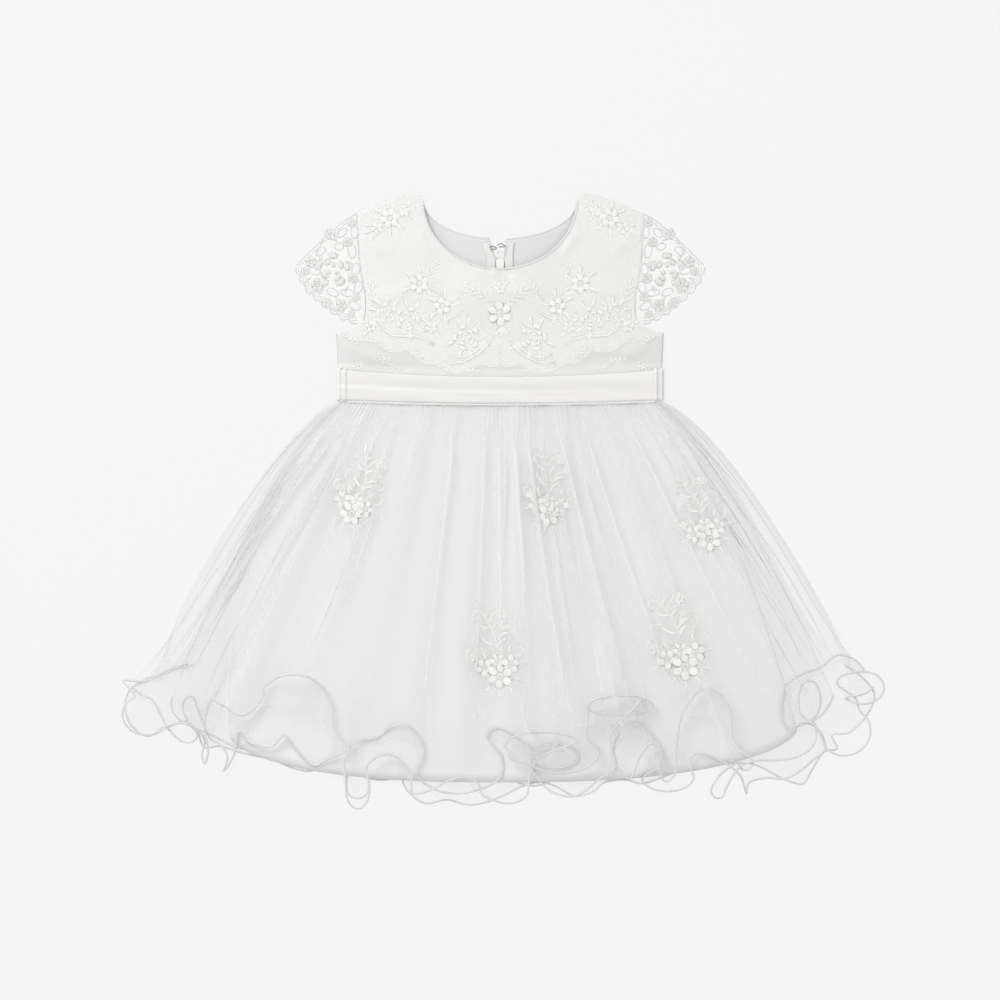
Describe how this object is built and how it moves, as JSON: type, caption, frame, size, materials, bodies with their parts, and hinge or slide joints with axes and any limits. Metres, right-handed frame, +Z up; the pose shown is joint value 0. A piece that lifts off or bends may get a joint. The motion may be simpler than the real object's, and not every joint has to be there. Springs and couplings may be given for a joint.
{
  "type": "baby's tulle party dress, laid flat",
  "caption": "Ivory baby dress laid flat, front up: satin bodice with lace yoke and cap sleeves, folded sash, back zip and a full tulle skirt with curly corded hems.",
  "frame": {"origin": "on the dress's middle line, 76 mm below the waist seam towards the hem, on the flat underside of the back of the skirt", "axes": "+Z up from the surface that the dress lies on, +Y from the hem to the neck, +X across the dress to the right in the picture"},
  "size_m": [0.5945, 0.4899, 0.0306],
  "materials": {
    "satin": "ivory duchess satin with a soft sheen",
    "tulle": "soft see-through nylon net",
    "lace": "corded and embroidered net lace",
    "embroidery": "rayon satin-stitch embroidery",
    "tape": "woven polyester zip tape",
    "zip_metal": "white enamelled zinc"
  },
  "bodies": {
    "dress": {"bodice_back_left": "satin", "bodice_back_right": "satin", "bodice_front": "satin", "bodice_lace": "lace", "lining_back": "satin", "lining_front": "satin", "sash_back": "satin", "sash_carrier_left": "satin", "sash_carrier_right": "satin", "sash_front": "satin", "sleeve_left_back": "lace", "sleeve_left_front": "lace", "sleeve_right_back": "lace", "sleeve_right_front": "lace", "spray_1": "embroidery", "spray_2": "embroidery", "spray_3": "embroidery", "spray_4": "embroidery", "spray_5": "embroidery", "tulle_inner_back": "tulle", "tulle_inner_front": "tulle", "tulle_outer_back": "tulle", "tulle_outer_front": "tulle", "zip_slider": "zip_metal", "zip_tape_left": "tape", "zip_tape_right": "tape"},
    "zip_pull": {"zip_pull_tab": "zip_metal"}
  },
  "joints": [
    {"name": "zip_pull_swing", "type": "hinge", "parent": "dress", "child": "zip_pull", "pos_m": [0, 0.1885, 0.0013], "axis": [-1, 0, 0], "range_deg": [0, 180]}
  ]
}
